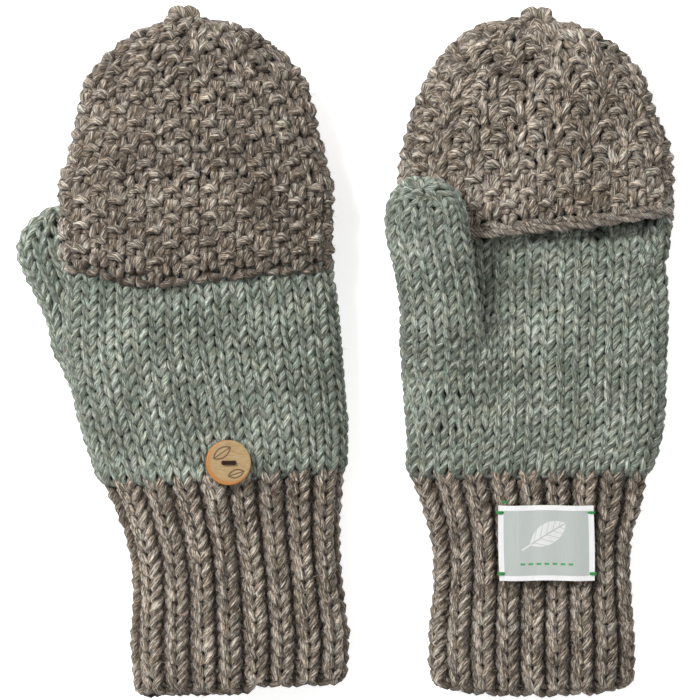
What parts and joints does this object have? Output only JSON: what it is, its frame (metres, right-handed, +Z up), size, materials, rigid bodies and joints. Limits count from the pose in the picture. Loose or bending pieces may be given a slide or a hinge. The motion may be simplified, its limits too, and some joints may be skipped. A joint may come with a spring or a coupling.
{
  "type": "convertible flip-top mittens",
  "caption": "Pair of knitted mittens with half-length finger tubes, a cap that flips back over the knuckles, a button loop and a wooden button on each.",
  "frame": {"origin": "centre of the pair's outline, on the surface it lies on", "axes": "+Z up from the surface, +Y towards the fingertips, +X from the right-hand mitten (palm down) to the left-hand mitten (palm up)"},
  "size_m": [0.2645, 0.2739, 0.0448],
  "materials": {
    "marl": "heathered grey-brown wool, ribbed or moss stitch",
    "sage": "heathered sage green wool, stocking stitch",
    "wood": "bare wood with an engraved leaf",
    "button_thread": "dark brown sewing thread",
    "label": "woven label, white edge and grey-green field",
    "label_thread": "green sewing thread"
  },
  "bodies": {
    "right_mitten": {"right_cuff": "marl", "right_hand": "sage", "right_index_tube": "sage", "right_middle_tube": "sage", "right_ring_tube": "sage", "right_little_tube": "sage"},
    "left_mitten": {"left_cuff": "marl", "left_hand": "sage", "left_index_tube": "sage", "left_middle_tube": "sage", "left_ring_tube": "sage", "left_little_tube": "sage", "label": "label", "label_stitches": "label_thread"},
    "right_thumb": {"right_thumb": "sage"},
    "right_cap": {"right_cap": "marl", "right_cap_edging": "marl"},
    "right_loop": {"right_loop": "marl"},
    "right_button": {"right_button": "wood", "right_button_thread": "button_thread"},
    "left_thumb": {"left_thumb": "sage"},
    "left_cap": {"left_cap": "marl", "left_cap_edging": "marl"},
    "left_loop": {"left_loop": "marl"},
    "left_button": {"left_button": "wood", "left_button_thread": "button_thread"}
  },
  "joints": [
    {"name": "pair_apart", "type": "slide", "parent": "right_mitten", "child": "left_mitten", "axis": [1, 0, 0], "range_m": [0, 0.15]},
    {"name": "right_cap_flip", "type": "hinge", "parent": "right_mitten", "child": "right_cap", "pos_m": [-0.06021, 0.03085, 0.03119], "axis": [0.9905, 0, -0.1374], "range_deg": [0, 165]},
    {"name": "right_thumb_swing", "type": "hinge", "parent": "right_mitten", "child": "right_thumb", "pos_m": [-0.11768, -0.00145, 0.00989], "axis": [0.1374, 0, 0.9905], "range_deg": [0, 35]},
    {"name": "right_loop_bend", "type": "hinge", "parent": "right_cap", "child": "right_loop", "pos_m": [-0.06638, 0.13045, 0.01943], "axis": [0.9905, 0, -0.1374], "range_deg": [-40, 40]},
    {"name": "right_button_turn", "type": "hinge", "parent": "right_mitten", "child": "right_button", "pos_m": [-0.04628, -0.04625, 0.02825], "axis": [0.1374, 0, 0.9905], "range_deg": [-25, 25]},
    {"name": "left_cap_flip", "type": "hinge", "parent": "left_mitten", "child": "left_cap", "pos_m": [0.07665, 0.03085, 0.002], "axis": [-1, 0, 0], "range_deg": [0, 165]},
    {"name": "left_thumb_swing", "type": "hinge", "parent": "left_mitten", "child": "left_thumb", "pos_m": [0.02205, -0.00145, 0.034], "axis": [0, 0, 1], "range_deg": [0, 35]},
    {"name": "left_loop_bend", "type": "hinge", "parent": "left_cap", "child": "left_loop", "pos_m": [0.07865, 0.13045, 0.0145], "axis": [1, 0, 0], "range_deg": [-40, 40]},
    {"name": "left_button_turn", "type": "hinge", "parent": "left_mitten", "child": "left_button", "pos_m": [0.07905, -0.04625, 0.003], "axis": [0, 0, 1], "range_deg": [-25, 25]}
  ]
}
